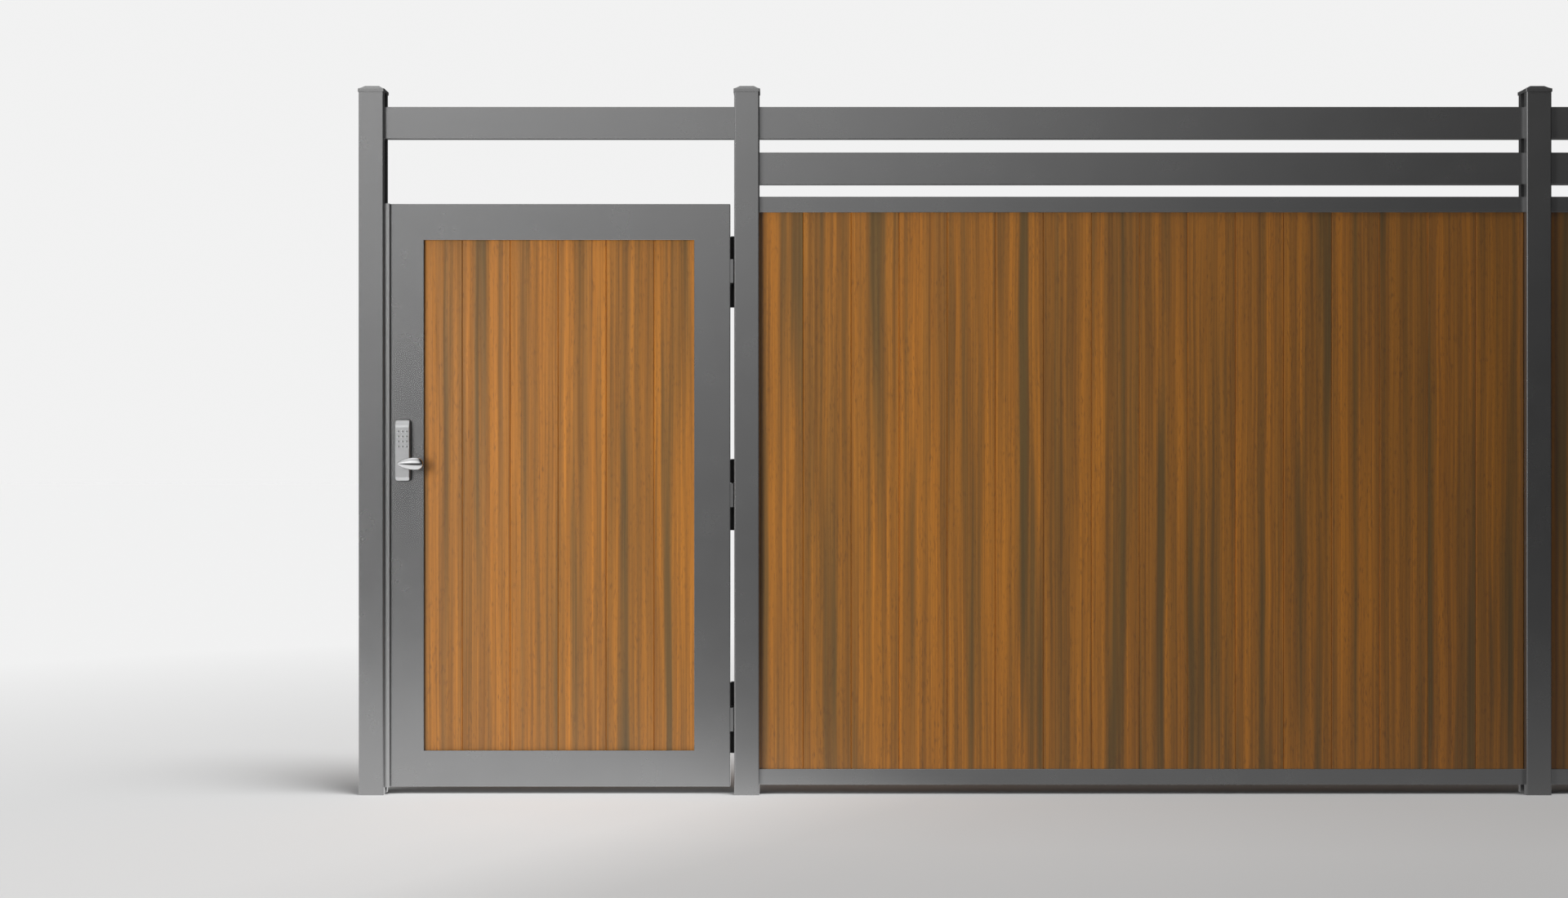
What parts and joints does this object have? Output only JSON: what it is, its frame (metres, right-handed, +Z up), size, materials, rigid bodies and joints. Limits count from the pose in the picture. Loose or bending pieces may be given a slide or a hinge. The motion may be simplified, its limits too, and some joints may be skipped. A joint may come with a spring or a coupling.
{
  "type": "composite privacy gate with fence bays",
  "caption": "Aluminium-framed composite privacy gate with keypad lever lock, hung between grooved posts beside matching board fence bays with accent rails.",
  "frame": {"origin": "centre of the hinge post's cut bottom end, on the ground line", "axes": "+X along the fence from the hinge post towards the boarded bays, +Y away from the keypad side, +Z up"},
  "size_m": [6.0223, 0.1814, 2.1535],
  "materials": {
    "charcoal_coat": "satin",
    "composite_boards": "matte",
    "hinge_black": "matte",
    "gasket_black": "matte",
    "bare_steel": "satin",
    "satin_chrome": "satin",
    "bright_chrome": "polished"
  },
  "bodies": {
    "fence": {"latch_post": "charcoal_coat", "hinge_post": "charcoal_coat", "line_post": "charcoal_coat", "end_post": "charcoal_coat", "latch_post_cap": "charcoal_coat", "hinge_post_cap": "charcoal_coat", "line_post_cap": "charcoal_coat", "end_post_cap": "charcoal_coat", "gate_header_rail": "charcoal_coat", "first_bay_upper_rail": "charcoal_coat", "first_bay_second_rail": "charcoal_coat", "first_bay_top_channel": "charcoal_coat", "first_bay_bottom_channel": "charcoal_coat", "first_bay_boards": "composite_boards", "second_bay_upper_rail": "charcoal_coat", "second_bay_second_rail": "charcoal_coat", "second_bay_top_channel": "charcoal_coat", "second_bay_bottom_channel": "charcoal_coat", "second_bay_boards": "composite_boards", "gate_stop": "charcoal_coat", "upper_hinge_post_leaf": "hinge_black", "middle_hinge_post_leaf": "hinge_black", "lower_hinge_post_leaf": "hinge_black", "upper_hinge_pin": "bare_steel", "middle_hinge_pin": "bare_steel", "lower_hinge_pin": "bare_steel"},
    "leaf": {"gate_hinge_stile": "charcoal_coat", "gate_latch_stile": "charcoal_coat", "gate_top_rail": "charcoal_coat", "gate_bottom_rail": "charcoal_coat", "gate_boards": "composite_boards", "upper_hinge_gate_knuckle": "charcoal_coat", "middle_hinge_gate_knuckle": "charcoal_coat", "lower_hinge_gate_knuckle": "charcoal_coat", "lock_gasket": "gasket_black", "lock_body": "satin_chrome", "lock_buttons": "bright_chrome", "outside_rose": "satin_chrome", "inside_plate": "satin_chrome", "inside_rose": "satin_chrome"},
    "lever": {"outside_lever": "bright_chrome", "inside_lever": "bright_chrome", "lever_spindle": "bare_steel"}
  },
  "joints": [
    {"name": "gate_swing", "type": "hinge", "parent": "fence", "child": "leaf", "pos_m": [-0.04467, 0.048, 0.912], "axis": [0, 0, -1], "range_deg": [0, 110]},
    {"name": "lever_turn", "type": "hinge", "parent": "leaf", "child": "lever", "pos_m": [-1.04495, -0.0064, 1.0055], "axis": [0, 1, 0], "range_deg": [0, 45], "stiffness_Nm_per_rad": 1.2, "springref_deg": -34.38}
  ]
}
